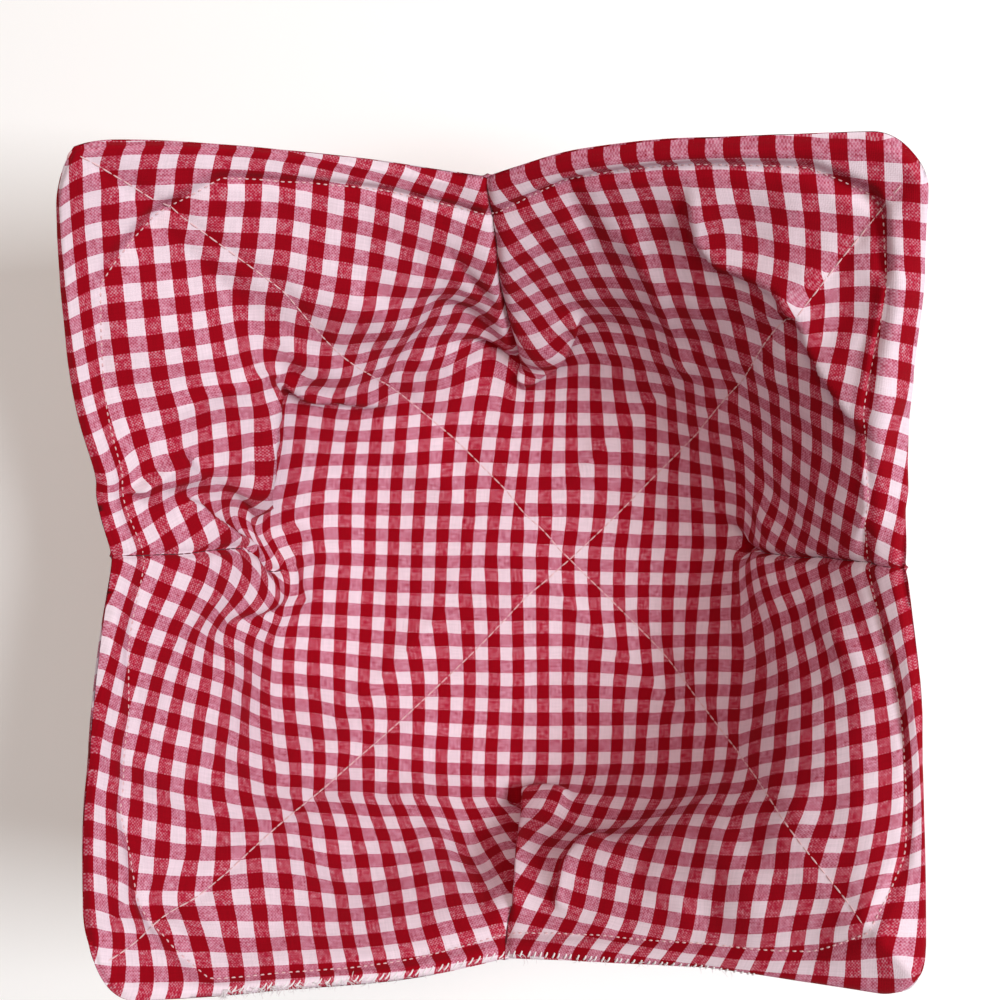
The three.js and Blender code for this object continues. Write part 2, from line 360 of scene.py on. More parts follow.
# Each crease: its width and rise in millimetres, its lean, and the line of places. Its top is sharp. Lean 1
# puts all of it on the left of the way along, as where a pleat lies over the cloth beside it, and lean 0
# shares it between both sides.
CREASES = {
    "corner flap": (8.0, 2.1, 0.7,
        [(0.45, 0.92), (0.46, 0.85), (0.47, 0.79), (0.52, 0.735), (0.58, 0.716), (0.66, 0.69), (0.70, 0.63),
         (0.725, 0.57), (0.78, 0.487), (0.836, 0.409), (0.873, 0.333)]),
    "right border": (4.0, 1.5, 0.9,
        [(0.86, 0.75), (0.862, 0.662), (0.858, 0.549), (0.864, 0.429), (0.873, 0.309), (0.898, 0.167),
         (0.90, 0.06)]),
    "pleat at the back dart": (5.0, 1.8, 0.9,
        [(-0.02, 0.395), (0.03, 0.38), (0.069, 0.40), (0.118, 0.50), (0.167, 0.533), (0.19, 0.60)]),
    "pale ridge on the back wall": (3.5, 1.5, 0.0,
        [(0.31, 0.83), (0.344, 0.731), (0.376, 0.682), (0.41, 0.55), (0.44, 0.41)]),
    "left wall notch": (6.0, 2.2, 0.9,
        [(-0.80, 0.27), (-0.829, 0.249), (-0.869, 0.209), (-0.931, 0.164)]),
    "bulge above the left seam": (4.0, 1.6, 0.9,
        [(-0.62, 0.01), (-0.718, 0.03), (-0.76, 0.062), (-0.787, 0.10), (-0.827, 0.118)]),
    "left dart, tip": (3.0, 1.3, 0.9,
        [(-0.44, -0.109), (-0.489, -0.062), (-0.493, 0.0), (-0.456, 0.053), (-0.467, 0.102)]),
    "star, right arm": (4.5, 1.7, 0.9,
        [(-0.54, 0.456), (-0.516, 0.42), (-0.473, 0.382), (-0.413, 0.395), (-0.256, 0.344)]),
    "star, front arm": (3.0, 2.4, 0.9,
        [(-0.56, 0.15), (-0.62, 0.204), (-0.62, 0.264), (-0.598, 0.364), (-0.553, 0.444)]),
    "star, left arm": (3.5, 1.3, 0.4,
        [(-0.513, 0.48), (-0.60, 0.467), (-0.667, 0.436), (-0.733, 0.409), (-0.838, 0.347)]),
    "front dart, right side over left": (5.0, 2.0, 0.95,
        [(0.012, -0.56), (0.004, -0.66), (0.002, -0.80), (0.004, -0.94)]),
    "front dart, curl at the tip": (2.8, 1.1, 0.7,
        [(0.13, -0.60), (0.08, -0.58), (0.03, -0.56), (-0.01, -0.575)]),
    "front wall, fold beside the dart": (3.5, 1.3, 0.9,
        [(0.24, -0.69), (0.17, -0.76), (0.14, -0.81), (0.12, -0.86), (0.11, -0.90)]),
}
RIDGE_ROUND = 0.4              # how sharp the top of a crease is, in millimetres


def smooth_step(x):
    """0 below 0, 1 above 1, and between them the cubic 3x^2 - 2x^3."""
    x = np.clip(x, 0, 1)
    return x * x * (3 - 2 * x)


def from_segment(a, b, start, end):
    """Distance on the cloth to a straight fold, in millimetres, and the share of the way along it."""
    p = np.stack([(a - start[0]) * HALF_ACROSS, (b - start[1]) * HALF_ALONG], -1)
    d = np.array([(end[0] - start[0]) * HALF_ACROSS, (end[1] - start[1]) * HALF_ALONG])
    share = np.clip((p @ d) / (d @ d), 0, 1)
    return np.linalg.norm(p - share[..., None] * d, axis=-1), share


def pulled(grid, a, b):
    """The grid with each pull's move added, times a bell curve of the distance over its reach."""
    moved = grid.copy()
    for (across, along), reach, move in PULLS.values():
        away = ((a - across) * HALF_ACROSS) ** 2 + ((b - along) * HALF_ALONG) ** 2
        moved[..., :2] += np.exp(-away / reach ** 2)[..., None] * np.array(move)
    return moved


def fold_height(a, b):
    """Sum of all folds: a bell curve across each, that swells from just under half at its ends."""
    height = np.zeros_like(a)
    for start, end, width, rise in FOLDS.values():
        distance, share = from_segment(a, b, start, end)
        swell = 0.45 + 0.55 * np.sin(math.pi * share)
        height += rise * swell * np.exp(-(distance / width) ** 2)
    return height


def crease_height(a, b):
    """Sum of all creases: an exponential roof over the nearest stretch of each, fading out at both ends."""
    height = np.zeros_like(a)
    for width, rise, lean, line in CREASES.values():
        nearest, off, way = np.full_like(a, 1e9), np.zeros_like(a), np.zeros_like(a)
        for k, (start, end) in enumerate(zip(line[:-1], line[1:])):
            distance, share = from_segment(a, b, start, end)
            left = ((end[0] - start[0]) * HALF_ACROSS * (b - start[1]) * HALF_ALONG
                    - (end[1] - start[1]) * HALF_ALONG * (a - start[0]) * HALF_ACROSS)
            closer = distance < nearest
            nearest = np.where(closer, distance, nearest)
            off = np.where(closer, distance * np.sign(left), off)
            way = np.where(closer, (k + share) / (len(line) - 1), way)
        roof = np.exp(-(np.sqrt(nearest ** 2 + RIDGE_ROUND ** 2) - RIDGE_ROUND) / width)
        ends = smooth_step(way / 0.12) * smooth_step((1 - way) / 0.12)
        height += rise * roof * ends * (1 + lean * np.tanh(off / (2 * RIDGE_ROUND)))
    return height


def crumple(a, b, seed, count, shortest, longest):
    """Small unevenness: sine waves of seeded headings, lengths and offsets, added up and divided by the
    square root of their count. Each wave is bent by a longer one across it."""
    rng = np.random.default_rng(seed)
    heading, offset = rng.uniform(0, math.pi, count), rng.uniform(0, 2 * math.pi, count)
    length = rng.uniform(shortest, longest, count)
    x, y = a[..., None] * HALF_ACROSS, b[..., None] * HALF_ALONG
    bend = 0.6 * np.sin((x * np.sin(heading) - y * np.cos(heading)) / (1.7 * length) + offset)
    waves = np.sin(2 * math.pi * (x * np.cos(heading) + y * np.sin(heading)) / length + offset + bend)
    return waves.sum(-1) / math.sqrt(count)


# %% [markdown]
# ## Seams and quilting
# Each dart seam and each line of stitches draws the padded cloth into a soft valley. The quilting is one
# large cross whose arms run from corner to corner, and the topstitching runs all round, a little inside
# the edge. Outside it the turned edge stays puffy.

# %% Valleys
# How far the line of stitches runs inside the edge: the walk round the square, and millimetres. The
# line cuts across the two left corners.
TOPSTITCH_IN = [(0, 8), (0.8, 12), (1.5, 11), (2, 14), (2.5, 6.5), (3, 5.4), (3.5, 6.2), (4, 9.4),
                (4.6, 9.8), (5.4, 11.5), (6, 25), (6.6, 11.5), (7.2, 8), (7.6, 6), (8, 6.9), (8.5, 8.2),
                (8.9, 11), (9.4, 11.5), (10, 21), (10.35, 11), (10.65, 3.2), (11.3, 3.2), (12, 4.6),
                (12.5, 7.2), (13, 8.3), (13.6, 8.6), (14, 13), (14.5, 7.4), (15, 8.2), (15.5, 9.2), (16, 8)]
# The way of each dart seam from the middle, across and along, and the half side it runs up to.
SEAM_WAYS = dict(right=(1, 0, HALF_ACROSS), back=(0, 1, HALF_ALONG),
                 left=(-1, 0, HALF_ACROSS), front=(0, -1, HALF_ALONG))
SEAM_SPREAD, QUILT_SPREAD, STITCH_SPREAD = 0.9, 1.7, 1.4   # reach to each side, in millimetres
QUILT_LINES = dict(
    falling=[(-0.95, 0.93), (-0.76, 0.80), (-0.52, 0.65), (-0.31, 0.43), (-0.12, 0.25), (0.14, -0.03),
             (0.33, -0.24), (0.47, -0.42), (0.69, -0.68), (0.86, -0.87)],
    rising=[(0.89, 0.91), (0.81, 0.81), (0.69, 0.67), (0.57, 0.45), (0.44, 0.28), (0.14, -0.03),
            (-0.02, -0.17), (-0.18, -0.32), (-0.50, -0.63), (-0.67, -0.82), (-0.90, -0.97)],
)


def seam_pull(a, b):
    """Depth of the dart seams' valleys: sharp across the seam, and fading out past the tip of the dart."""
    pull = np.zeros_like(a)
    for name, (way_a, way_b, half) in SEAM_WAYS.items():
        off = a * HALF_ACROSS if way_a == 0 else b * HALF_ALONG
        tip = 1 - DARTS[name]["depth"] / half
        fade = smooth_step((way_a * a + way_b * b - tip + 0.06) / 0.12)
        pull = np.maximum(pull, np.exp(-np.abs(off) / SEAM_SPREAD) * fade)
    return pull


def quilt_pull(a, b):
    """Depth of the quilting valleys, 0 to 1: a bell curve across the nearer of the two lines."""
    away = [from_segment(a, b, start, end)[0]
            for knots in QUILT_LINES.values() for start, end in zip(knots[:-1], knots[1:])]
    return np.exp(-(np.min(away, axis=0) / QUILT_SPREAD) ** 2)


def unit(vectors):
    """Each vector over its own length."""
    return vectors / np.maximum(np.linalg.norm(vectors, axis=-1, keepdims=True), 1e-9)


def normals(grid):
    """Upward normals: the cross product of the differences both ways."""
    return unit(np.cross(np.gradient(grid, axis=1), np.gradient(grid, axis=0)))


def steady_normals(grid):
    """Normals for the layers' thickness: the rim borrows those of the fourth line in."""
    n = normals(grid)
    index = np.clip(np.arange(len(grid)), 4, len(grid) - 5)
    return n[index][:, index]


def evened(field, times):
    """Averages each value with its four neighbours, several times over."""
    for _ in range(times):
        padded = np.pad(field, ((1, 1), (1, 1)) + ((0, 0),) * (field.ndim - 2), mode="edge")
        beside = padded[2:, 1:-1] + padded[:-2, 1:-1] + padded[1:-1, 2:] + padded[1:-1, :-2]
        field = 0.5 * field + 0.125 * beside
    return field


EDGE_FADE = 14                 # millimetres over which the edge sewing's hold on the cloth fades
FINE, BROAD = 0.12, 0.30       # millimetres of each crumple
WALL_START = 8                 # millimetres of rise over which the floor turns into the wall
FLOOR_TROUGH = 0.15            # the share of a trough's depth that is left on the floor
OUTWARD_ROUNDS, CALM_ROUNDS = 6, 90
CALM_FROM, CALM_REACH = 3, 12  # millimetres from the edge
smooth_bowl = pulled(inside, cloth_a, cloth_b)
relief = fold_height(cloth_a, cloth_b) + crease_height(cloth_a, cloth_b)
fine_crumple = crumple(cloth_a, cloth_b, seed=7, count=14, shortest=7, longest=18)
broad_crumple = crumple(cloth_a, cloth_b, seed=8, count=10, shortest=22, longest=45)
relief += (FINE * fine_crumple + BROAD * broad_crumple) * smooth_step(from_edge / EDGE_FADE)
# On the floor the troughs are shallow, because the table is under them.
up_wall = smooth_step((smooth_bowl[..., 2] - FLOOR_UP) / WALL_START)
relief = np.where(relief < 0, relief * (FLOOR_TROUGH + (1 - FLOOR_TROUGH) * up_wall), relief)
lay = smooth_bowl + steady_normals(smooth_bowl) * relief[..., None]
outward = steady_normals(evened(lay, OUTWARD_ROUNDS))
# Two layers of batting lie between the folds and the outside, so the outside shows them softened.
calm = evened(lay, CALM_ROUNDS)
calm_lay = lay + (calm - lay) * smooth_step((from_edge - CALM_FROM) / CALM_REACH)[..., None]
calm_outward = steady_normals(calm)
print("relief, mm:", relief.min().round(2), relief.max().round(2))

# %% [markdown]
# ## Two closed panels
# Each panel is a closed sheet: an upper skin, a lower skin, and the turned edge between them. Round the
# rim the two panels are sewn together, so both skins curve in to the seam, like the edge of a pillow.
# The outer panel is never pushed below the table.


# %% Panel meshes
def edge_close(distance, roll):
    """How far a skin has closed towards the seam: a quarter circle, 1 at the rim and 0 at one roll in."""
    x = np.clip(1 - distance / roll, 0, 1)
    return 1 - np.sqrt(1 - x * x)


def placed(name, data):
    """An object for a finished mesh, a lamp or a camera, put into the scene at the origin."""
    piece = bpy.data.objects.new(name, data)
    bpy.context.scene.collection.objects.link(piece)
    return piece


def panel_mesh(name, upper, lower, uv):
    """Closed grid mesh: upper skin, lower skin turned over, and a strip round the rim."""
    rows, columns = upper.shape[:2]
    count = rows * columns
    index = np.arange(count).reshape(rows, columns)
    quads = cell_corners(index[..., None])[..., 0].reshape(-1, 4)
    edge = np.concatenate([index[0, :-1], index[:-1, -1], index[-1, :0:-1], index[:0:-1, 0]])
    following = np.roll(edge, -1)
    strip = np.stack([following, edge, edge + count, following + count], 1)
    faces = np.concatenate([quads, quads[:, ::-1] + count, strip])
    top_uv = uv.reshape(-1, 4, 2)
    strip_uv = np.zeros((len(strip), 4, 2))
    cell = np.arange((rows - 1) * (columns - 1)).reshape(rows - 1, columns - 1)
    run = [(cell[0, :], 0, 1), (cell[:, -1], 1, 2), (cell[-1, ::-1], 2, 3), (cell[::-1, 0], 3, 0)]
    start = 0
    for cells, first, second in run:
        a, b = top_uv[cells, first], top_uv[cells, second]
        strip_uv[start:start + len(cells)] = np.stack([b, a, a, b], 1)
        start += len(cells)
    all_uv = np.concatenate([top_uv, top_uv[:, ::-1], strip_uv]).reshape(-1, 2)
    mesh = bpy.data.meshes.new(name)
    mesh.vertices.add(2 * count)
    points = np.concatenate([upper.reshape(-1, 3), lower.reshape(-1, 3)]) * MM
    mesh.vertices.foreach_set("co", points.ravel())
    mesh.loops.add(faces.size)
    mesh.loops.foreach_set("vertex_index", faces.astype(np.int32).ravel())
    mesh.polygons.add(len(faces))
    mesh.polygons.foreach_set("loop_start", np.arange(0, faces.size, 4, dtype=np.int32))
    mesh.polygons.foreach_set("use_smooth", np.ones(len(faces), bool))
    layer = mesh.uv_layers.new(name="flat cloth")
    layer.uv.foreach_set("vector", all_uv.ravel())
    mesh.update()
    mesh.validate()
    return placed(name, mesh)


seam = seam_pull(cloth_a, cloth_b)
quilt = quilt_pull(cloth_a, cloth_b)
walk = walk_round(square_a, square_b)
stitch_in = np.interp(walk, *zip(*TOPSTITCH_IN))
stitch_line = np.exp(-((from_edge - stitch_in) / STITCH_SPREAD) ** 2)
PUFF_IN, PUFF_OUT = 3, 2       # millimetres over which the border swells, from the stitches and the rim
border = smooth_step((stitch_in - from_edge) / PUFF_IN) * smooth_step(from_edge / PUFF_OUT)
# How strongly the border stands out, at places of the walk: it is plumpest along the back and the right.
PROUD = [(0, 1.6), (1, 2.0), (6, 1.8), (7, 1.0), (14, 1.0), (16, 1.6)]
proud = np.interp(walk, *zip(*PROUD))
middle_depth = FLOOR_UP / 2
ROLL = 2.2                     # radius of the rolled edge
PRESSED_RIM = 9                # the rim is pressed evenly so far in, in millimetres
# The batting is pressed thin by the edge sewing: the share of the thickness left, at the trims' places.
PRESSED = dict(right=(0.55, 0.55, 0.7, 0.85, 1.0, 0.8), back=(0.55, 0.55, 0.55, 0.65, 0.8, 0.8),
               left=(0.5, 0.5, 0.55, 0.55, 0.55, 0.55), front=(0.5, 0.5, 0.5, 0.5, 0.5, 0.55))
at_edge = np.where(np.abs(square_a) > np.abs(square_b), *by_side(PRESSED, square_a, square_b))
pressed = at_edge + (1 - at_edge) * smooth_step((from_edge - PRESSED_RIM) / EDGE_FADE)


def skin(depth, sewn, laid=lay, away=outward):
    """One skin, so far below the inside face, with the pull of the sewing and closed at the rim."""
    beyond = depth - middle_depth
    seam_half = 0.5 * LAYER_GAP * np.sign(beyond)
    close = edge_close(from_edge, ROLL)
    down = (middle_depth + seam_half + (beyond - seam_half) * (1 - close) + sewn) * pressed
    point = laid - away * down[..., None]
    point[..., 2] = np.maximum(point[..., 2], FLOOR_UP - depth)
    return point


# How far the sewing draws each skin in, in millimetres, and how far the puffy border stands out of it.
INSIDE = dict(seam=2.8, quilt=0.5, stitch=0.9, border=0.6)
OUTSIDE = dict(seam=1.0, quilt=0.35, stitch=0.6, border=0.3)
HIDDEN_SEAM = 1.1              # the two skins between the panels are drawn in at the dart seams alone
inside_sewn = (INSIDE["seam"] * seam + INSIDE["quilt"] * quilt
               + proud * (INSIDE["stitch"] * stitch_line - INSIDE["border"] * border))
outside_sewn = (-OUTSIDE["seam"] * seam - OUTSIDE["quilt"] * quilt
                - OUTSIDE["stitch"] * stitch_line + OUTSIDE["border"] * border)
inner_top = skin(0, inside_sewn)
inner_back = skin(PANEL_THICK, HIDDEN_SEAM * seam)
outer_face = skin(PANEL_THICK + LAYER_GAP, HIDDEN_SEAM * seam)
outer_bottom = skin(FLOOR_UP, outside_sewn, calm_lay, calm_outward)
inner = panel_mesh("inner_cloth", inner_top, inner_back, cell_flat / REPEAT + np.array(FIRST_STRIPE))
outer = panel_mesh("outer_cloth", outer_face, outer_bottom, cell_flat / REPEAT + np.array(OUTER_FIRST_STRIPE))
print("faces:", len(inner.data.polygons), len(outer.data.polygons))

# %% [markdown]
# ## Thread
# A machine stitch is a short length of thread that dips into the cloth at both ends. One stitch is a small
# tube with rounded ends, arched over the cloth; the whole line is the same stitch laid end to end, worked
# out as one array. The lines are measured along the cloth first, so that the stitches come out even.

# %% Stitch functions
STITCH_SINK = 0.55             # a stitch's ends lie so far below the cloth, as a share of its arch


def on_cloth(skin_grid, a, b):
    """Point of a skin between grid lines: the four nearest grid points, weighted by nearness."""
    i, j = (np.interp(share, lines, np.arange(len(lines))) for share in (b, a))
    i0, j0 = np.minimum(i.astype(int), len(lines) - 2), np.minimum(j.astype(int), len(lines) - 2)
    u, v = (j - j0)[:, None], (i - i0)[:, None]
    return ((skin_grid[i0, j0] * (1 - u) + skin_grid[i0, j0 + 1] * u) * (1 - v)
            + (skin_grid[i0 + 1, j0] * (1 - u) + skin_grid[i0 + 1, j0 + 1] * u) * v)


def evenly(points, pitch):
    """Shares of a line, cut so that neighbours are one pitch apart along it."""
    length = np.concatenate([[0], np.cumsum(np.linalg.norm(np.diff(points, axis=0), axis=1))])
    count = int(length[-1] // pitch)
    return np.interp(np.arange(count + 1) * length[-1] / count, length, np.linspace(0, 1, len(points)))


def stitches(starts, ends, ups, radius, arch, rings=6, sides=6):
    """Tubes from starts to ends: a parabola of the given arch, round in section, tapering to both ends."""
    share = np.linspace(0.03, 0.97, rings)
    along = ends - starts
    beside = unit(np.cross(unit(along), ups))
    middle = starts[:, None] + along[:, None] * share[None, :, None]
    middle = middle + ups[:, None] * (arch * (4 * share * (1 - share) - STITCH_SINK))[None, :, None]
    thick = radius * (1 - (2 * share - 1) ** 4) ** 0.5
    turn = np.arange(sides) * 2 * math.pi / sides
    ring = (beside[:, None, None] * np.cos(turn)[None, None, :, None]
            + ups[:, None, None] * np.sin(turn)[None, None, :, None])
    tube = middle[:, :, None] + ring * thick[None, :, None, None]
    poles = np.stack([starts - ups * STITCH_SINK * arch, ends - ups * STITCH_SINK * arch], 1)
    points = np.concatenate([tube.reshape(len(starts), -1, 3), poles], 1)
    n = np.arange(sides)
    following = (n + 1) % sides
    k = np.arange(rings - 1)[:, None] * sides
    quads = np.stack([k + n, k + following, k + sides + following, k + sides + n], -1)
    first, last = rings * sides, rings * sides + 1
    caps = np.concatenate([np.stack([following, n, np.full(sides, first)], 1),
                           np.stack([n + first - sides, following + first - sides, np.full(sides, last)], 1)])
    return points, quads.reshape(-1, 4), caps


def thread_piece(name, groups):
    """One mesh for several lines of stitches."""
    vertices, faces = [], []
    offset = 0
    for points, quads, caps in groups:
        count, per = points.shape[:2]
        base = offset + np.arange(count)[:, None, None] * per
        for shape in (quads, caps):
            faces += (shape[None] + base).reshape(-1, shape.shape[1]).tolist()
        vertices.append(points.reshape(-1, 3))
        offset += count * per
    mesh = bpy.data.meshes.new(name)
    mesh.from_pydata((np.concatenate(vertices) * MM).tolist(), [], faces)
    mesh.polygons.foreach_set("use_smooth", np.ones(len(faces), bool))
    mesh.update()
    print(name, "stitches:", sum(len(g[0]) for g in groups), "faces:", len(faces))
    return placed(name, mesh)


def stitched_line(skin_grid, up_grid, a, b, pitch, gap, radius, arch):
    """Stitches along a line on a skin, each a pitch long less the gap."""
    points = on_cloth(skin_grid, a, b)
    shares = evenly(points, pitch)
    spots_a, spots_b = (np.interp(shares, np.linspace(0, 1, len(way)), way) for way in (a, b))
    spots, ups = on_cloth(skin_grid, spots_a, spots_b), unit(on_cloth(up_grid, spots_a, spots_b))
    starts, ends = spots[:-1], spots[1:]
    trim = 0.5 * gap / pitch
    return stitches(starts + (ends - starts) * trim, ends - (ends - starts) * trim, ups[:-1], radius, arch)


# %% Quilting and topstitching
def knots_line(knots, count=600):
    """Places along a line of knots, evenly by knot."""
    knots = np.array(knots)
    share = np.linspace(0, len(knots) - 1, count)
    return on_square(*(np.interp(share, np.arange(len(knots)), knots[:, k]) for k in (0, 1)))


def ring_line(insets, count=4000):
    """The ring at the given distances inside the edge, once round from the right dart."""
    walk = np.linspace(0, 4, count)
    ring = 1 - np.interp(4 * walk, *zip(*insets)) / TO_EDGE
    turns = [0, 0.5, 1.5, 2.5, 3.5, 4]
    a, b = np.interp(walk, turns, [1, 1, -1, -1, 1, 1]), np.interp(walk, turns, [0, 1, 1, -1, -1, 0])
    return a * ring, b * ring


inside_up, outside_up = normals(evened(inner_top, 2)), -normals(evened(outer_bottom, 2))
SEEN_SKINS = ((inner_top, inside_up), (outer_bottom, outside_up))
QUILTING_STITCH = dict(pitch=2.3, gap=0.12, radius=0.155, arch=0.14)   # millimetres
EDGE_STITCH = dict(pitch=1.4, gap=0.55, radius=0.15, arch=0.14)
quilt_thread = thread_piece("quilting_thread", [
    stitched_line(grid, up, *knots_line(knots), **QUILTING_STITCH)
    for grid, up in SEEN_SKINS for knots in QUILT_LINES.values()])
edge_thread = thread_piece("topstitch_thread", [
    stitched_line(grid, up, *ring_line(TOPSTITCH_IN), **EDGE_STITCH) for grid, up in SEEN_SKINS])

# %% [markdown]
# ## The shadow in the dart seams
# Where the two sides of a dart meet they turn down into the seam, and the eye sees a thin dark line: the
# shadowed bottom of the slit. A fine tube in the near-black red of that shadow, drawn along the valley, is
# painted shadow that stands for it.

# %% Painted seam shadow lines
SLIT_SHADOW_TUBE = dict(pitch=2.0, gap=-0.1, radius=0.28, arch=0.05)   # millimetres; the lengths overlap


def seam_line(name, across, along, half, count=200):
    """Places down the middle of a dart, from a little past its tip to the edge."""
    share = np.linspace(1 - DARTS[name]["depth"] / half + 0.02, 0.985, count)
    return on_square(across * share, along * share)


# Painted shadow: dark tubes down each dart seam, standing for the shade at the bottom of the slit.
seam_shadow_lines = thread_piece("seam_shadow_lines", [
    stitched_line(grid, up, *seam_line(name, *way), **SLIT_SHADOW_TUBE)
    for name, way in SEAM_WAYS.items() for grid, up in SEEN_SKINS])

# %% [markdown]
# ## The hand-closed edge
# The last opening, along the front edge, is closed by hand with small slanted whip stitches that run
# over the rim, and some cut threads of the cloth stick out there. A whip stitch is the same tube as a
# machine stitch, laid from the inside face to the rim; a loose fibre is a much thinner one.

# %% Whip stitches and loose fibres
WHIP_PITCH, WHIP_IN = 1.8, 1.6         # millimetres along the rim, and inwards from it
WHIP_SLANT = 0.013                     # share of the half side between a stitch's two ends
WHIP_LEAN = (0, -0.7, 0.2)             # added to the cloth's normal, because the stitches lie over the rim
WHIP_STITCH = dict(radius=0.19, arch=0.65)
HAND_CLOSED = (-0.62, 0.62)            # from left to right along the front edge
FRAYED = dict(across=-0.50, spread=0.13, count=220)
STRAY_FIBRES = 90
FIBRE = dict(radius=0.06, arch=0.3, rings=5, sides=4)
FIBRE_SPREAD, FIBRE_LEAN = (0.9, 0.5, 0.45), (0, -0.7, 0.15)   # of their headings
FIBRE_ROOT, FIBRE_LENGTH = (0, 0.8), (0.5, 1.8)                # millimetres: inside the edge, and long


def at_front(a, inset):
    """Point of the inside face, so far inside the front edge."""
    return on_cloth(inner_top, a, -1 + inset / TO_EDGE)


whip_a = np.arange(*HAND_CLOSED, WHIP_PITCH / HALF_ACROSS)
rng = np.random.default_rng(21)
whip_a = whip_a + rng.uniform(-0.2, 0.2, len(whip_a)) * WHIP_PITCH / HALF_ACROSS
flat = np.zeros_like(whip_a)
whip_up = unit(on_cloth(inside_up, whip_a, flat - 1 + WHIP_IN / TO_EDGE) + WHIP_LEAN)
whip_from, whip_to = at_front(whip_a + WHIP_SLANT, flat + WHIP_IN), at_front(whip_a, flat + 0.1)
whip = stitches(whip_from, whip_to, whip_up, **WHIP_STITCH)
tuft_a = np.concatenate([rng.normal(FRAYED["across"], FRAYED["spread"], FRAYED["count"]),
                         rng.uniform(*HAND_CLOSED, STRAY_FIBRES)])
tuft_a = np.clip(tuft_a, *HAND_CLOSED)
tuft_from = at_front(tuft_a, rng.uniform(*FIBRE_ROOT, len(tuft_a)))
tuft_way = unit(rng.normal(0, 1, (len(tuft_a), 3)) * FIBRE_SPREAD + FIBRE_LEAN)
tuft_way *= rng.uniform(*FIBRE_LENGTH, len(tuft_a))[:, None]
tuft_up = unit(np.cross(tuft_way, rng.normal(0, 1, tuft_way.shape)))
fibres = stitches(tuft_from, tuft_from + tuft_way, tuft_up, **FIBRE)
hand_thread = thread_piece("whip_stitches", [whip])
loose_fibres = thread_piece("loose_fibres", [fibres])

# %% [markdown]
# ## Gingham
# Gingham is a plain weave: each warp yarn goes over one weft yarn and under the next. Where red warp
# crosses red weft the square is solid red, where white crosses white it is white, and the two half tones
# are mixtures of both yarns. The group below does what the loom does: it finds the yarn under each
# place of the flat cloth, asks which of the two is on top, and gives its colour and its crown.


# %% Node helpers
def new_group(name, inputs, outputs):
    """A shader node group with named sockets, and its two ends."""
    tree = bpy.data.node_groups.new(name, "ShaderNodeTree")
    for label, kind, value in inputs:
        socket = tree.interface.new_socket(label, in_out="INPUT", socket_type=kind)
        if value is not None:
            socket.default_value = value
    for label, kind in outputs:
        tree.interface.new_socket(label, in_out="OUTPUT", socket_type=kind)
    return tree, tree.nodes.new("NodeGroupInput"), tree.nodes.new("NodeGroupOutput")


def feed(tree, socket, value):
    """Links an output socket, or sets a plain value."""
    if isinstance(value, bpy.types.NodeSocket):
        tree.links.new(value, socket)
    else:
        socket.default_value = value


def maths(tree, operation, *values, clamp=False):
    """One Math node."""
    node = tree.nodes.new("ShaderNodeMath")
    node.operation, node.use_clamp = operation, clamp
    for socket, value in zip(node.inputs, values):
        feed(tree, socket, value)
    return node.outputs[0]


def blend(tree, share, first, second):
    """Mix of two colours."""
    node = tree.nodes.new("ShaderNodeMix")
    node.data_type = "RGBA"
    feed(tree, node.inputs[0], share)
    feed(tree, node.inputs[6], first)
    feed(tree, node.inputs[7], second)
    return node.outputs[2]


def noise(tree, vector, scale):
    """Value of a Noise Texture."""
    node = tree.nodes.new("ShaderNodeTexNoise")
    feed(tree, node.inputs["Vector"], vector)
    node.inputs["Scale"].default_value = scale
    return node.outputs["Fac"]


def combine(tree, x, y, z=0.0):
    """A vector of three values."""
    node = tree.nodes.new("ShaderNodeCombineXYZ")
    for socket, value in zip(node.inputs, (x, y, z)):
        feed(tree, socket, value)
    return node.outputs[0]


# %% Weave group
YARNS = 20.0                   # yarns in one repeat, half of them red
WARP_UNDER, WARP_OVER = 0.30, 0.94             # how much of a place the warp covers, under and over the weft
WARP_SHARE = (WARP_UNDER + WARP_OVER) / 2      # the warp shows more than the weft
ALONG_YARN, ACROSS_YARN = 0.16, 0.7            # scales of the grain: it is drawn out along the yarns
SLUB_ALONG, SLUB_ACROSS = 0.06, 0.9            # scales of the slubs, which are longer still
SLUB_DEPTH = 0.26
WOBBLE = 0.05                                  # how far the yarns stray to both sides together, in repeats
GRAIN, REDDER, PALER = 2.1, 0.9, 0.45          # strengths of the speckles in the half tones

weave, ends_in, ends_out = new_group(
    "checked_weave",
    [("Flat place", "NodeSocketVector", None), ("Yarns", "NodeSocketFloat", YARNS),
     ("Both red", "NodeSocketColor", (0.255, 0.0, 0.006, 1)),
     ("Warp red", "NodeSocketColor", (0.42, 0.022, 0.055, 1)),
     ("Weft red", "NodeSocketColor", (0.52, 0.16, 0.245, 1)),
     ("White", "NodeSocketColor", (0.73, 0.59, 0.66, 1))],
    [("Colour", "NodeSocketColor"), ("Height", "NodeSocketFloat")])
flat_in, yarns_in, both_red, warp_red, weft_red, white = ends_in.outputs[:6]


def times(x, y, clamp=False):
    """Product of two values of the weave."""
    return maths(weave, "MULTIPLY", x, y, clamp=clamp)


def plus(x, y):
    """Sum of two values of the weave."""
    return maths(weave, "ADD", x, y)


def less(x, y):
    """Difference of two values of the weave."""
    return maths(weave, "SUBTRACT", x, y)


def red_yarn(number):
    """1 for a red yarn: within a quarter of a repeat from a stripe's middle."""
    middle = maths(weave, "DIVIDE", plus(number, 0.5), yarns_in)
    return maths(weave, "LESS_THAN", maths(weave, "FRACT", plus(middle, 0.25)), 0.5)


def crown(yarns):
    """Roundness of a yarn: a half sine across it."""
    return maths(weave, "SINE", times(maths(weave, "FRACT", yarns), math.pi))


def weighed(of_warp, of_weft, share):
    """The warp's value times its share, and the weft's times what is left."""
    return plus(times(of_warp, share), times(of_weft, less(1.0, share)))


def yarn_noise(by_warp, by_weft, z=0.0):
    """Noise over the yarns' numbers, each way at its own scale, so that its spots become streaks."""
    return noise(weave, combine(weave, times(warp, by_warp), times(weft, by_weft), z), 1.0)


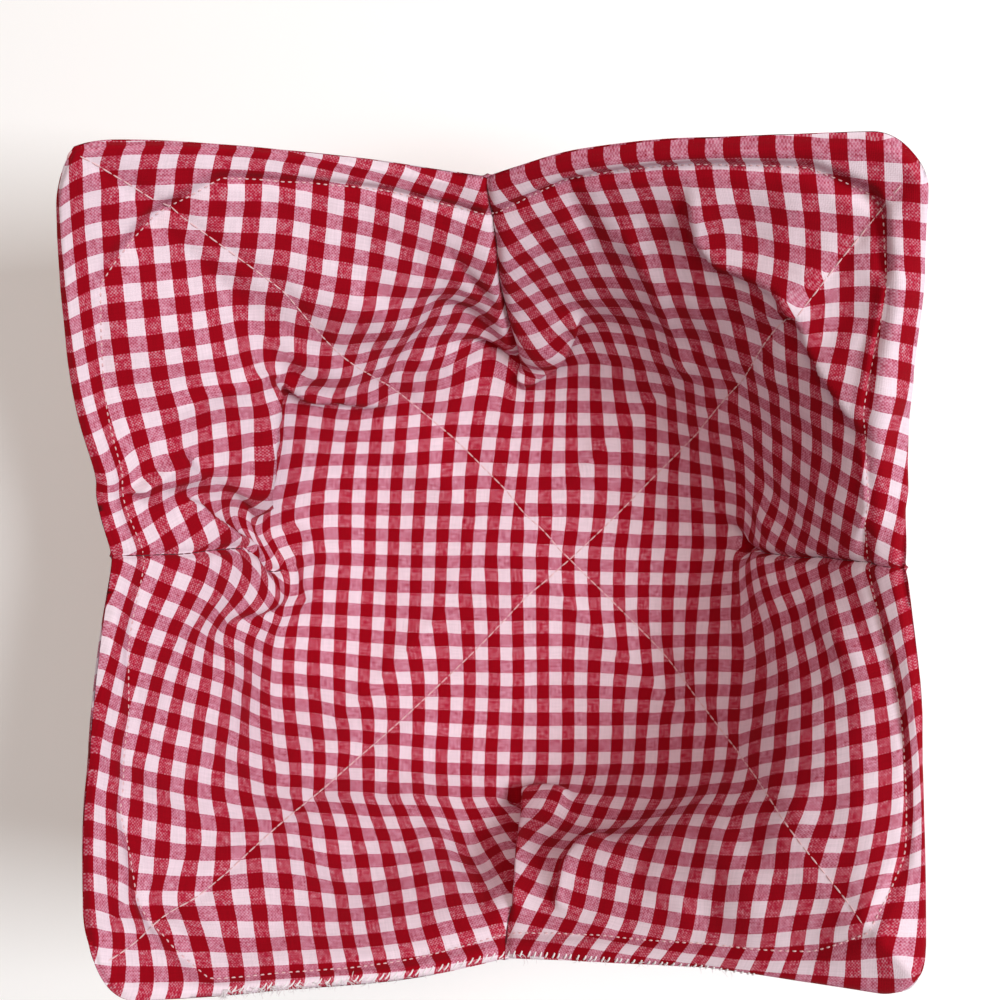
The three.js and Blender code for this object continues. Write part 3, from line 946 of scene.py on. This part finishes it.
# %% Yarns and their colours
place = weave.nodes.new("ShaderNodeSeparateXYZ")
weave.links.new(flat_in, place.inputs[0])
wobble = maths(weave, "MULTIPLY_ADD", noise(weave, flat_in, 2.2), WOBBLE, -WOBBLE / 2)
warp, weft = (times(plus(place.outputs[k], wobble), yarns_in) for k in (0, 1))
warp_number, weft_number = maths(weave, "FLOOR", warp), maths(weave, "FLOOR", weft)
red_warp, red_weft = red_yarn(warp_number), red_yarn(weft_number)
half_sum = times(plus(warp_number, weft_number), 0.5)
warp_over = maths(weave, "LESS_THAN", maths(weave, "FRACT", half_sum), 0.25)
warp_shows = maths(weave, "MULTIPLY_ADD", warp_over, WARP_OVER - WARP_UNDER, WARP_UNDER)
square_colour = blend(weave, red_warp, blend(weave, red_weft, white, weft_red),
                      blend(weave, red_weft, warp_red, both_red))
# A half tone is redder where a red yarn happens to lie on top, and paler where a white one does.
half_tone = maths(weave, "ABSOLUTE", less(red_warp, red_weft))
streaks = plus(yarn_noise(ALONG_YARN, ACROSS_YARN), yarn_noise(ACROSS_YARN, ALONG_YARN, 3.0))
grain = times(less(streaks, 1.0), half_tone)
unlike = less(weighed(red_warp, red_weft, warp_shows), weighed(red_warp, red_weft, WARP_SHARE))
difference = maths(weave, "MULTIPLY_ADD", grain, GRAIN, unlike)
redder, paler = times(difference, REDDER, clamp=True), times(difference, -PALER, clamp=True)
speckled = blend(weave, paler, blend(weave, redder, square_colour, both_red), white)
# Slubs, the thicker lengths of yarn, lie in slightly lighter and darker streaks both ways.
weft_slub = maths(weave, "MULTIPLY_ADD", yarn_noise(SLUB_ALONG, SLUB_ACROSS), SLUB_DEPTH, 1 - SLUB_DEPTH)
shade = plus(weft_slub, times(yarn_noise(SLUB_ACROSS, SLUB_ALONG), SLUB_DEPTH))
darker = weave.nodes.new("ShaderNodeMix")
darker.data_type, darker.blend_type = "RGBA", "MULTIPLY"
darker.inputs[0].default_value = 1.0
weave.links.new(speckled, darker.inputs[6])
weave.links.new(combine(weave, shade, shade, shade), darker.inputs[7])
weave.links.new(darker.outputs[2], ends_out.inputs["Colour"])
weave.links.new(weighed(crown(warp), crown(weft), warp_shows), ends_out.inputs["Height"])


# %% Cotton and thread
def principled(name):
    """A material with its Principled BSDF and output."""
    material = bpy.data.materials.new(name)
    material.use_nodes = True
    return material, material.node_tree, material.node_tree.nodes["Principled BSDF"]


def set_values(node, values):
    """Sets a node's inputs to plain values, by their names."""
    for name, value in values.items():
        node.inputs[name].default_value = value


def raised(tree, shader, height, strength, distance):
    """A Bump node from a height to the shader's normal."""
    bump = tree.nodes.new("ShaderNodeBump")
    set_values(bump, {"Strength": strength, "Distance": distance})
    tree.links.new(height, bump.inputs["Height"])
    tree.links.new(bump.outputs[0], shader.inputs["Normal"])


def gingham(name):
    """Checked cotton: the weave group on the flat-cloth UV, with a soft fuzz that catches light."""
    material, tree, shader = principled(name)
    flat = tree.nodes.new("ShaderNodeUVMap")
    flat.uv_map = "flat cloth"
    group = tree.nodes.new("ShaderNodeGroup")
    group.node_tree = weave
    tree.links.new(flat.outputs[0], group.inputs["Flat place"])
    tree.links.new(group.outputs["Colour"], shader.inputs["Base Color"])
    raised(tree, shader, group.outputs["Height"], 0.35, 0.0001)
    set_values(shader, {"Roughness": 0.9, "Specular IOR Level": 0.08,
                        "Sheen Weight": 0.03, "Sheen Roughness": 0.5})
    return material


def thread_material(name, deep, light):
    """Cotton thread: noise along it for its plies and a little uneven dye. The painted seam shadow is made
    with it too.
    """
    material, tree, shader = principled(name)
    place = tree.nodes.new("ShaderNodeTexCoord").outputs["Object"]
    tree.links.new(blend(tree, noise(tree, place, 900.0), deep, light), shader.inputs["Base Color"])
    raised(tree, shader, noise(tree, place, 6000.0), 0.3, 0.00005)
    set_values(shader, {"Roughness": 0.75, "Sheen Weight": 0.2})
    return material


# The quilting and topstitch thread is pale pink, and its colour is also darkened as painted shade, standing
# for the shade it lies in along the stitch valleys.
pale_thread_and_shade = thread_material("pale_thread_and_shade", (0.56, 0.29, 0.32, 1), (0.78, 0.56, 0.57, 1))
white_thread = thread_material("white_thread", (0.66, 0.60, 0.62, 1), (0.85, 0.80, 0.82, 1))
# The seam material is painted shadow: the near-black red of the shadowed slit, on the tubes that stand for
# it.
painted_seam_shadow = thread_material("painted_seam_shadow", (0.05, 0.0, 0.005, 1), (0.12, 0.002, 0.015, 1))
THREADS = {quilt_thread: pale_thread_and_shade, edge_thread: pale_thread_and_shade, seam_shadow_lines: painted_seam_shadow,
           hand_thread: white_thread, loose_fibres: white_thread}
for piece, thread in THREADS.items():
    piece.data.materials.append(thread)
inner.data.materials.append(gingham("gingham_inside"))
outer.data.materials.append(gingham("gingham_outside"))
print("materials:", [m.name for m in bpy.data.materials])

# %% Riding on the root, with the solid parts hidden
PANELS = ((inner, "inner_panel", "gingham_inside"), (outer, "outer_panel", "gingham_outside"))
for piece, node, slot in PANELS:
    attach(piece, "root")
    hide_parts(node)
for piece in THREADS:
    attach(piece, "root")

# %% [markdown]
# ## Floor, light and camera
# A pale floor and two large soft lamps: a cool one at the right, as from a window, and a weaker warm one
# overhead, as from the room. The camera is close and looks almost straight down.

# %% Floor
bpy.ops.mesh.primitive_plane_add(size=6)
floor = bpy.context.object
floor.name = "floor"
paper, _, paper_shader = principled("pale_paper")
set_values(paper_shader, {"Base Color": (0.93, 0.93, 0.93, 1), "Roughness": 0.9})
floor.data.materials.append(paper)


# %% Lights
LIT_PLACE = (0, 0, 0.03)       # what the lamps face, in metres


def soft_lamp(name, place, size, power, colour):
    """A square area lamp at a place, with its side in metres and its power in watts."""
    lamp = bpy.data.lights.new(name, "AREA")
    lamp.size, lamp.energy, lamp.color = size, power, colour
    holder = placed(name, lamp)
    holder.location = place
    holder.rotation_mode = "QUATERNION"
    holder.rotation_quaternion = (Vector(LIT_PLACE) - Vector(place)).to_track_quat("-Z", "Y")


soft_lamp("window", (0.62, 0.02, 0.80), 0.4, 8.6, (0.93, 0.97, 1.0))
soft_lamp("room", (-0.05, 0.20, 0.95), 0.45, 3.4, (1.0, 0.84, 0.72))
world = bpy.data.worlds.new("studio")
bpy.context.scene.world = world
world.use_nodes = True
set_values(world.node_tree.nodes["Background"], {"Color": (1.0, 1.0, 1.0, 1), "Strength": 0.24})
bpy.context.scene.view_settings.view_transform = "Standard"

# %% Camera
CAMERA_PLACE = Vector((0.00669, 0.02003, 0.3005))
LOOK_DOWN = Vector((-0.020, -0.029, -0.999)).normalized()
camera_data = bpy.data.cameras.new("camera")
camera_data.sensor_width, camera_data.lens = 36.0, 43.2
camera_data.clip_start, camera_data.clip_end = 0.01, 10.0
camera = placed("camera", camera_data)
camera_right = Vector((1, 0, 0))
camera_right = (camera_right - LOOK_DOWN * camera_right.dot(LOOK_DOWN)).normalized()
camera_up = camera_right.cross(LOOK_DOWN)
camera_turn = Matrix((camera_right, camera_up, -LOOK_DOWN)).transposed().to_4x4()
camera.matrix_world = Matrix.Translation(CAMERA_PLACE) @ camera_turn
bpy.context.scene.camera = camera
